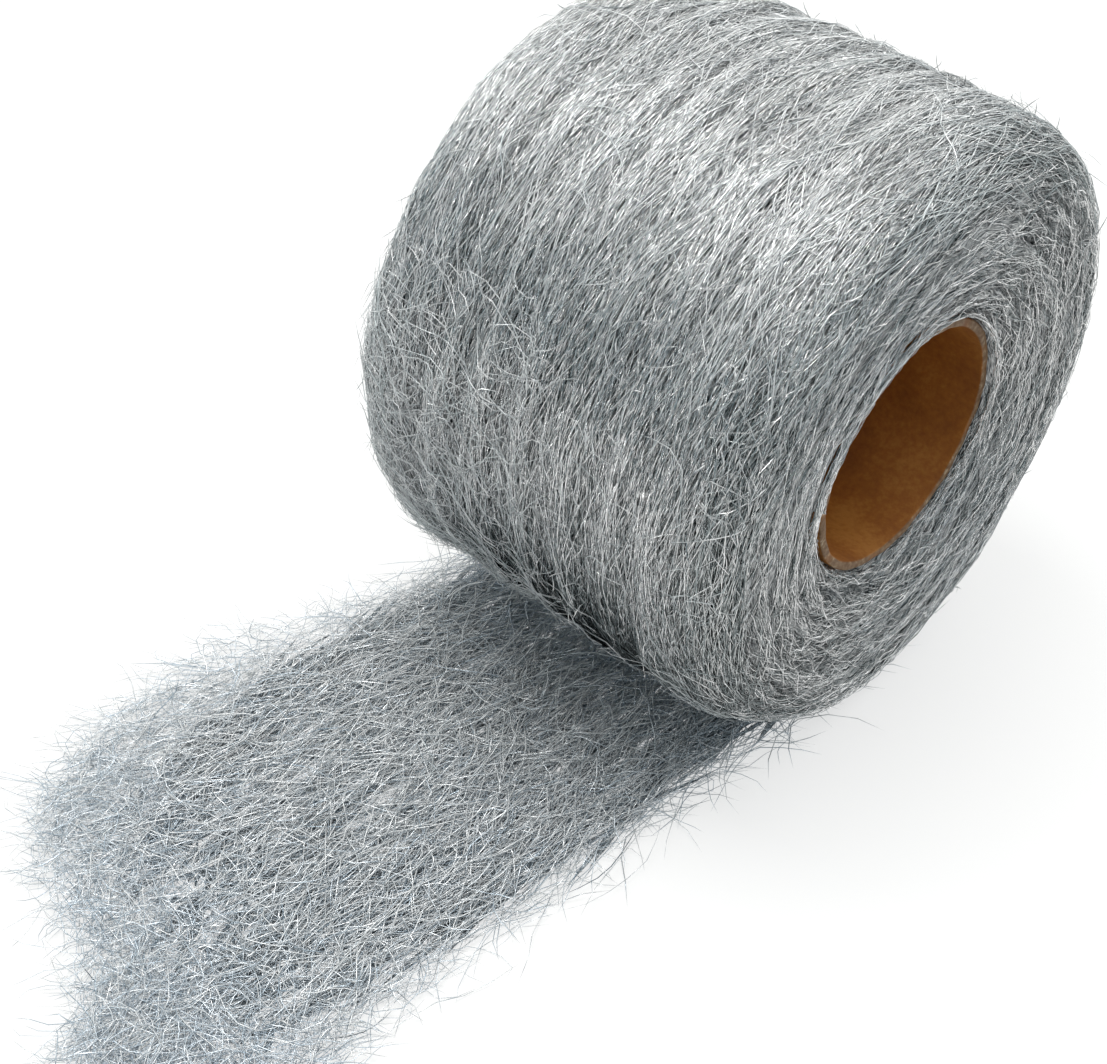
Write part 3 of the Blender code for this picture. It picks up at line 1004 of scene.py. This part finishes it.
tailLocks = {
    "seed": 41,
    "locks": 900,
    "length": 40.0,
    "heading": 0.12,
    "curl": 0.006,
    "crimp": (0.12, 24.0, 0.1),
    "broad": 7.5,  # times the width of a strand
    "flat": 1.2,
    "leaning": 0.0,
    "first": -10.0,  # mm
    "reach": 0.86,  # part of the length that their middles cover
    "loose": (110.0, 50.0),
    "looseShorter": 0.65,
    "looseHeading": 0.3,
    "looseCurl": 0.03,
    "sides": 0.82,  # part of the half widths, and what is lost towards the torn end
    "narrowing": 0.12,
    "looseNarrowing": 0.1,
    "foot": 0.15,
    "height": 1.3,
    "fall": 0.5,
}


def makeTailLocks():
    # flat locks of matted strands in the dense middle of the loose end, narrower towards its edges
    lay = tailLocks
    random = seeded(lay)
    count = lay["locks"]
    distance = draw(random, count, lay["first"], lay["reach"] * tail["length"])
    loose = eased(distance, lay["loose"])
    along, across, lift = strandPaths(
        random, count, lay, length=lay["length"] * (1 - lay["looseShorter"] * loose),
        heading=lay["heading"] + lay["looseHeading"] * loose, curl=lay["curl"] + lay["looseCurl"] * loose,
    )
    far = distance / tail["length"]
    sides = lay["sides"] - lay["narrowing"] * smooth(far) - lay["looseNarrowing"] * loose
    place = draw(random, count, -1, 1) * sides
    middle = tailPoint(distance, place, 0 * distance)
    height = lay["foot"] + lay["height"] * draw(random, count) * (1 - lay["fall"] * far)
    height = np.maximum(height + lift, skinGap)
    centre = np.stack([middle[..., 0] + across, middle[..., 1] - along, height], -1)
    layFibres(
        "loose_end_locks", random, lay, centre, upwards, np.full(count, 0.5), tailMass, lay["broad"], "lay"
    )


makeTailLocks()
print("ribbon made")

tube = {
    "wall": 2.1,
    "lip": 0.4,  # rounding of the cut ends
    "facets": 160,
    "wavers": ((0.12, 9, 0), (0.1, 23, 1)),  # mm, waves round the tube, phase
    "cut": (0.35, 0.05),  # mm before the cut end between which the face turns into torn fibre
    "flecks": 700.0,  # for each metre
    "clouds": 60.0,
}


def kraftBoard():
    # Unbleached kraft tube board: smooth calendered brown inside, paler torn fibre on the cut ends.
    material, shader = newMaterial("kraft_tube_board")
    place = addNode(material, "TexCoord").outputs["Object"]
    flecks = addNode(material, "TexNoise", {}, Vector=place, Scale=tube["flecks"], Detail=3.0, Roughness=0.6)
    flecks = flecks.outputs["Fac"]
    clouds = addNode(material, "TexNoise", {}, Vector=place, Scale=tube["clouds"], Detail=2.0)
    mixed = combine(material, "Math", "MULTIPLY_ADD", flecks, 0.6, clouds.outputs["Fac"])
    face = addRamp(material, mixed, [(0.55, "#874b08"), (0.8, "#9f5f18"), (1.0, "#b3752d")])
    torn = addRamp(material, flecks, [(0.4, "#765434"), (0.6, "#957655"), (0.74, "#cdb799")])
    reach = combine(material, "Math", "ABSOLUTE", addNode(material, "SeparateXYZ", Vector=place))
    low, high = ((tubeHalf - before) * millimetre for before in tube["cut"])
    cut = addNode(material, "MapRange", {}, n0=reach, n1=low, n2=high)
    feed(material, shader, "Base Color", mixColours(material, cut, face, torn))
    bump = addNode(material, "Bump", {}, Height=flecks, Strength=0.5, Distance=0.0002)
    feed(material, shader, "Normal", bump.outputs[0])
    shader.inputs["Roughness"].default_value = 0.62
    return material


def makeTube():
    # the tube's profile, with rounded cut ends, turned about X; the cut ends waver by two sines of the angle
    corner = np.linspace(0, math.pi / 2, 4)
    lip, half = tube["lip"], tubeHalf
    inner = tubeRadius - tube["wall"]
    rise, run = lip * np.sin(corner), lip * np.cos(corner)
    across = np.concatenate([half - lip + rise, half - lip + run, -half + lip - rise, -half + lip - run])
    radius = np.concatenate([
        tubeRadius - lip + run, inner + lip - rise, inner + lip - run, tubeRadius - lip + rise
    ])
    angle = np.linspace(0, fullTurn, tube["facets"], endpoint=False)[:, None]
    waver = sum(height * np.sin(waves * angle + phase) for height, waves, phase in tube["wavers"])
    waver = np.where(np.abs(across)[None] > half - 1.01 * lip, waver, 0)
    points = aroundAxis(angle, across[None] + np.sign(across)[None] * waver, radius[None])
    rows, count, _ = points.shape
    corners = quadsBetween(rows, rows, count)[2][:, ::-1]
    starts = np.arange(len(corners)) * 4
    mesh = meshFrom("paperboard_tube", points.reshape(-1, 3), corners.ravel(), starts, {})
    addPiece("paperboard_tube", mesh, kraftBoard(), "paperboard", "core_tube")


makeTube()
print("tube made")

# Camera, floor and light
camera = {
    "place": (0.2096, -0.3184, 0.3389),  # metres
    "azimuth": 39.0,  # degrees
    "elevation": 40.48,
    "tilt": 5.02,
    "lens": 65.49,  # mm on a 36 mm sensor
}


def addCamera():
    data = bpy.data.cameras.new("camera")
    data.lens = camera["lens"]
    data.sensor_width = 36.0
    data.sensor_fit = "HORIZONTAL"
    data.clip_start = 0.01
    view = addObject("camera", data)
    turned = Matrix.Rotation(math.radians(camera["azimuth"]), 4, "Z")
    turned = turned @ Matrix.Rotation(math.radians(90 - camera["elevation"]), 4, "X")
    turned = turned @ Matrix.Rotation(math.radians(camera["tilt"]), 4, "Z")
    view.matrix_world = Matrix.Translation(camera["place"]) @ turned
    bpy.context.scene.camera = view


addCamera()

studio = {
    "floorSize": 4.0,
    "floorColor": "#969695",
    "floorGlow": 0.64,  # what camera and mirror rays see on top of the lit floor
    "skyLean": (0.0, 0.30, 0.954),  # direction of the brightest sky: overhead and a little behind
    "skyStrength": 1.14,
}
lamps = {  # power in W, size in m, place, and turn from straight down
    "top_lamp": (5.6, 0.5, (-0.2, -0.12, 1.0), (0.1, -0.2, 0.0)),
    "back_lamp": (1.0, 0.35, (0.15, 0.75, 0.65), (-0.86, 0.0, 0.0)),
    "side_lamp": (0.4, 0.1, (0.85, -0.5, 0.35), (1.304, 0.0, 1.038)),
}


def addFloor():
    # white table: a plain pale colour, and a glow for camera and mirror rays alone that lifts its shadows
    mesh = bpy.data.meshes.new("floor")
    half = studio["floorSize"] / 2
    corners = [(-half, -half, 0), (half, -half, 0), (half, half, 0), (-half, half, 0)]
    mesh.from_pydata(corners, [], [(0, 1, 2, 3)])
    floor = addObject("floor", mesh)
    material, shader = newMaterial("white_table")
    rays = addNode(material, "LightPath").outputs
    seen = combine(material, "Math", "MAXIMUM", rays["Is Camera Ray"], rays["Is Glossy Ray"])
    seen = combine(material, "Math", "MAXIMUM", seen, rays["Is Transmission Ray"])
    glow = combine(material, "Math", "MULTIPLY", seen, studio["floorGlow"])
    shader.inputs["Base Color"].default_value = linearColor(studio["floorColor"])
    shader.inputs["Roughness"].default_value = 0.8
    shader.inputs["Emission Color"].default_value = (1.0, 1.0, 1.0, 1.0)
    feed(material, shader, "Emission Strength", glow.outputs[0])
    mesh.materials.append(material)


def addSky():
    # a bright overhead sky that is dim towards the front and the right, and plain white behind the object
    world = bpy.data.worlds.new("studio")
    world.use_nodes = True
    background = world.node_tree.nodes["Background"]
    direction = addNode(world, "TexCoord").outputs["Generated"]
    height = combine(world, "VectorMath", "DOT_PRODUCT", direction, studio["skyLean"]).outputs["Value"]
    sky = addRamp(world, height, [(0.0, "#587178"), (0.12, "#86a0aa"), (0.28, "#f3f6f5"), (1.0, "#fffffc")])
    east = addNode(world, "SeparateXYZ", Vector=direction)
    right = addRamp(world, east, [(0.35, "#ffffff"), (0.7, "#98a4ad")])
    colour = mixColours(world, 1.0, sky, right, "MULTIPLY")
    shown = addNode(world, "LightPath").outputs["Is Camera Ray"]
    feed(world, background, "Color", mixColours(world, shown, colour, (1.0, 1.0, 1.0, 1.0)))
    background.inputs["Strength"].default_value = studio["skyStrength"]
    bpy.context.scene.world = world


def addLamps():
    # square lamps that the strands mirror as glints
    for name, (power, size, place, turn) in lamps.items():
        light = bpy.data.lights.new(name, "AREA")
        light.energy = power
        light.size = size
        lamp = addObject(name, light)
        lamp.location = place
        lamp.rotation_euler = turn


addFloor()
addSky()
addLamps()
bpy.context.scene.view_settings.view_transform = "Standard"
